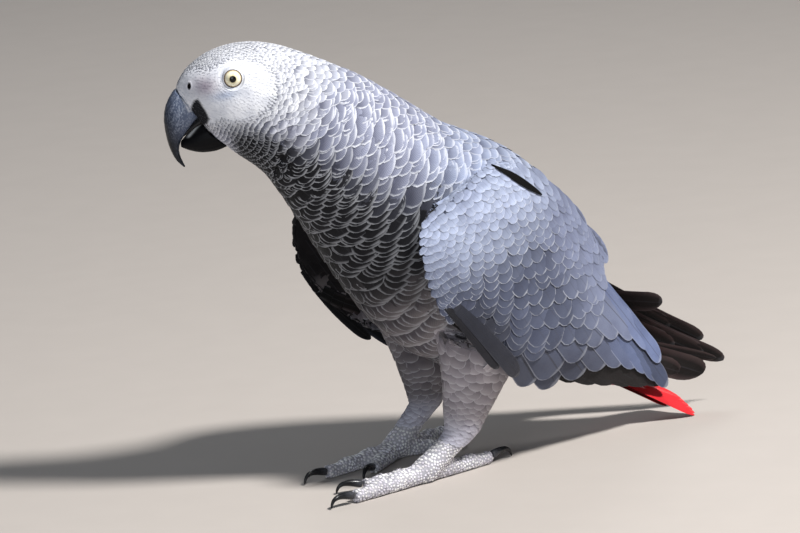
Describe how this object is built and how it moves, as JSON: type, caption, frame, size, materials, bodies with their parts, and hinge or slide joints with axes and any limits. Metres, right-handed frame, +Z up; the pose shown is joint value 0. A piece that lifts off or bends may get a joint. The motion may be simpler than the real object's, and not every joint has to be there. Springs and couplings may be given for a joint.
{
  "type": "grey parrot",
  "caption": "Life-size grey parrot model standing on both feet, head turned aside, pale bare face, hooked black bill, scalloped grey plumage and short red tail.",
  "frame": {"origin": "the middle of the bird's plan outline, on the level its feet stand on", "axes": "+Z up, -X the way the body faces, -Y the bird's left side"},
  "size_m": [0.2738, 0.1148, 0.2107],
  "materials": {
    "head_feathers": "bare whitish face with fine hair-like lines, and small pale-edged feather scales on the crown",
    "body_feathers": "soft matt feathers, charcoal to blue-grey with pale rims",
    "wing_feathers": "smooth overlapping blue-grey covert and secondary feathers",
    "flight_feathers": "near-black stiff flight feathers with a low sheen",
    "tail_feathers": "scarlet feathers with pale shafts",
    "thigh_feathers": "short soft pale grey feathers",
    "foot_skin": "dry pale grey skin covered in small rounded scales",
    "bill_horn": "slate-black horn with pale dusty scratches",
    "claw_horn": "glossy dark grey horn",
    "eye": "wet clear cornea over a cream-yellow iris and a small black pupil"
  },
  "bodies": {
    "root": {"bill_lower": "bill_horn", "bill_upper": "bill_horn", "claw_L_inner_front": "claw_horn", "claw_L_inner_rear": "claw_horn", "claw_L_outer_front": "claw_horn", "claw_L_outer_rear": "claw_horn", "claw_R_inner_front": "claw_horn", "claw_R_inner_rear": "claw_horn", "claw_R_outer_front": "claw_horn", "claw_R_outer_rear": "claw_horn", "eye_L": "eye", "eye_R": "eye", "head": "head_feathers", "neck": "body_feathers", "tail_L_1": "tail_feathers", "tail_L_2": "tail_feathers", "tail_L_3": "tail_feathers", "tail_R_1": "tail_feathers", "tail_R_2": "tail_feathers", "tail_R_3": "tail_feathers", "tarsus_L": "foot_skin", "tarsus_R": "foot_skin", "thigh_L": "thigh_feathers", "thigh_R": "thigh_feathers", "toe_L_inner_front": "foot_skin", "toe_L_inner_rear": "foot_skin", "toe_L_outer_front": "foot_skin", "toe_L_outer_rear": "foot_skin", "toe_R_inner_front": "foot_skin", "toe_R_inner_rear": "foot_skin", "toe_R_outer_front": "foot_skin", "toe_R_outer_rear": "foot_skin", "trunk": "body_feathers", "wing_L_coverts": "wing_feathers", "wing_L_hand": "wing_feathers", "wing_L_primaries": "flight_feathers", "wing_L_secondaries": "wing_feathers", "wing_L_shoulder": "wing_feathers", "wing_L_tertials": "wing_feathers", "wing_L_wingtip": "flight_feathers", "wing_R_coverts": "wing_feathers", "wing_R_hand": "wing_feathers", "wing_R_primaries": "flight_feathers", "wing_R_secondaries": "wing_feathers", "wing_R_shoulder": "wing_feathers", "wing_R_tertials": "wing_feathers", "wing_R_wingtip": "flight_feathers"}
  },
  "joints": []
}
